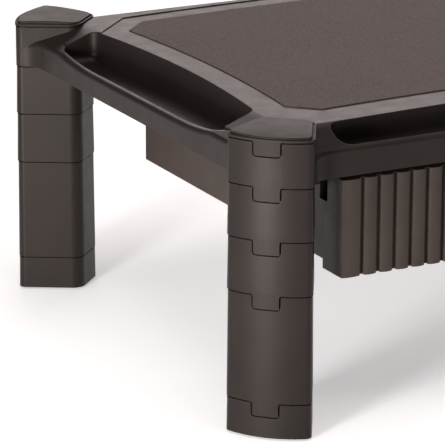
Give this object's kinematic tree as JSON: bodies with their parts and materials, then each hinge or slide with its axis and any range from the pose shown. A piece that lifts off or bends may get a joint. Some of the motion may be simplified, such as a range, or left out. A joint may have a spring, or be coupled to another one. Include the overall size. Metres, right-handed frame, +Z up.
{
  "type": "desktop monitor riser with drawer",
  "caption": "Low desktop riser: moulded deck with mat and side pockets on four stacked snap-together corner columns, with a ribbed drawer slung below.",
  "frame": {"origin": "on the ground, centre of the bounding box's bottom face", "axes": "+X to the right along the long side, +Y to the back, -Y is the drawer side, +Z up"},
  "size_m": [0.4334, 0.3374, 0.168],
  "materials": {
    "deck_plastic": "fine moulded grain, matte, dark brown-charcoal",
    "cap_plastic": "fine moulded grain, matte",
    "column_plastic": "fine moulded grain, satin-matte",
    "drawer_plastic": "fine moulded grain, satin-matte",
    "rail_plastic": "plain black plastic",
    "mat_rubber": "speckled matte non-slip rubber",
    "pad_rubber": "matte black rubber",
    "screw_steel": "zinc-plated steel"
  },
  "bodies": {
    "stand": {"top_deck": "deck_plastic", "nonslip_mat": "mat_rubber", "left_drawer_rail": "rail_plastic", "right_drawer_rail": "rail_plastic", "rail_screws": "screw_steel", "front_left_cap": "cap_plastic", "front_right_cap": "cap_plastic", "rear_left_cap": "cap_plastic", "rear_right_cap": "cap_plastic"},
    "drawer": {"drawer_tray": "drawer_plastic", "drawer_front": "drawer_plastic", "drawer_screws": "screw_steel"},
    "front_left_upper_riser": {"front_left_upper_riser": "column_plastic"},
    "front_left_lower_riser": {"front_left_lower_riser": "column_plastic"},
    "front_left_tall_riser": {"front_left_tall_riser": "column_plastic"},
    "front_left_foot": {"front_left_foot": "column_plastic", "front_left_foot_pad": "pad_rubber"},
    "front_right_upper_riser": {"front_right_upper_riser": "column_plastic"},
    "front_right_lower_riser": {"front_right_lower_riser": "column_plastic"},
    "front_right_tall_riser": {"front_right_tall_riser": "column_plastic"},
    "front_right_foot": {"front_right_foot": "column_plastic", "front_right_foot_pad": "pad_rubber"},
    "rear_left_upper_riser": {"rear_left_upper_riser": "column_plastic"},
    "rear_left_lower_riser": {"rear_left_lower_riser": "column_plastic"},
    "rear_left_tall_riser": {"rear_left_tall_riser": "column_plastic"},
    "rear_left_foot": {"rear_left_foot": "column_plastic", "rear_left_foot_pad": "pad_rubber"},
    "rear_right_upper_riser": {"rear_right_upper_riser": "column_plastic"},
    "rear_right_lower_riser": {"rear_right_lower_riser": "column_plastic"},
    "rear_right_tall_riser": {"rear_right_tall_riser": "column_plastic"},
    "rear_right_foot": {"rear_right_foot": "column_plastic", "rear_right_foot_pad": "pad_rubber"}
  },
  "joints": [
    {"name": "drawer_slide", "type": "slide", "parent": "stand", "child": "drawer", "axis": [0, -1, 0], "range_m": [0, 0.16]},
    {"name": "front_left_upper_riser_lift_off", "type": "slide", "parent": "stand", "child": "front_left_upper_riser", "axis": [0, 0, -1], "range_m": [0, 0.02]},
    {"name": "front_left_lower_riser_lift_off", "type": "slide", "parent": "front_left_upper_riser", "child": "front_left_lower_riser", "axis": [0, 0, -1], "range_m": [0, 0.02]},
    {"name": "front_left_tall_riser_lift_off", "type": "slide", "parent": "front_left_lower_riser", "child": "front_left_tall_riser", "axis": [0, 0, -1], "range_m": [0, 0.02]},
    {"name": "front_left_foot_lift_off", "type": "slide", "parent": "front_left_tall_riser", "child": "front_left_foot", "axis": [0, 0, -1], "range_m": [0, 0.02]},
    {"name": "front_right_upper_riser_lift_off", "type": "slide", "parent": "stand", "child": "front_right_upper_riser", "axis": [0, 0, -1], "range_m": [0, 0.02]},
    {"name": "front_right_lower_riser_lift_off", "type": "slide", "parent": "front_right_upper_riser", "child": "front_right_lower_riser", "axis": [0, 0, -1], "range_m": [0, 0.02]},
    {"name": "front_right_tall_riser_lift_off", "type": "slide", "parent": "front_right_lower_riser", "child": "front_right_tall_riser", "axis": [0, 0, -1], "range_m": [0, 0.02]},
    {"name": "front_right_foot_lift_off", "type": "slide", "parent": "front_right_tall_riser", "child": "front_right_foot", "axis": [0, 0, -1], "range_m": [0, 0.02]},
    {"name": "rear_left_upper_riser_lift_off", "type": "slide", "parent": "stand", "child": "rear_left_upper_riser", "axis": [0, 0, -1], "range_m": [0, 0.02]},
    {"name": "rear_left_lower_riser_lift_off", "type": "slide", "parent": "rear_left_upper_riser", "child": "rear_left_lower_riser", "axis": [0, 0, -1], "range_m": [0, 0.02]},
    {"name": "rear_left_tall_riser_lift_off", "type": "slide", "parent": "rear_left_lower_riser", "child": "rear_left_tall_riser", "axis": [0, 0, -1], "range_m": [0, 0.02]},
    {"name": "rear_left_foot_lift_off", "type": "slide", "parent": "rear_left_tall_riser", "child": "rear_left_foot", "axis": [0, 0, -1], "range_m": [0, 0.02]},
    {"name": "rear_right_upper_riser_lift_off", "type": "slide", "parent": "stand", "child": "rear_right_upper_riser", "axis": [0, 0, -1], "range_m": [0, 0.02]},
    {"name": "rear_right_lower_riser_lift_off", "type": "slide", "parent": "rear_right_upper_riser", "child": "rear_right_lower_riser", "axis": [0, 0, -1], "range_m": [0, 0.02]},
    {"name": "rear_right_tall_riser_lift_off", "type": "slide", "parent": "rear_right_lower_riser", "child": "rear_right_tall_riser", "axis": [0, 0, -1], "range_m": [0, 0.02]},
    {"name": "rear_right_foot_lift_off", "type": "slide", "parent": "rear_right_tall_riser", "child": "rear_right_foot", "axis": [0, 0, -1], "range_m": [0, 0.02]}
  ]
}
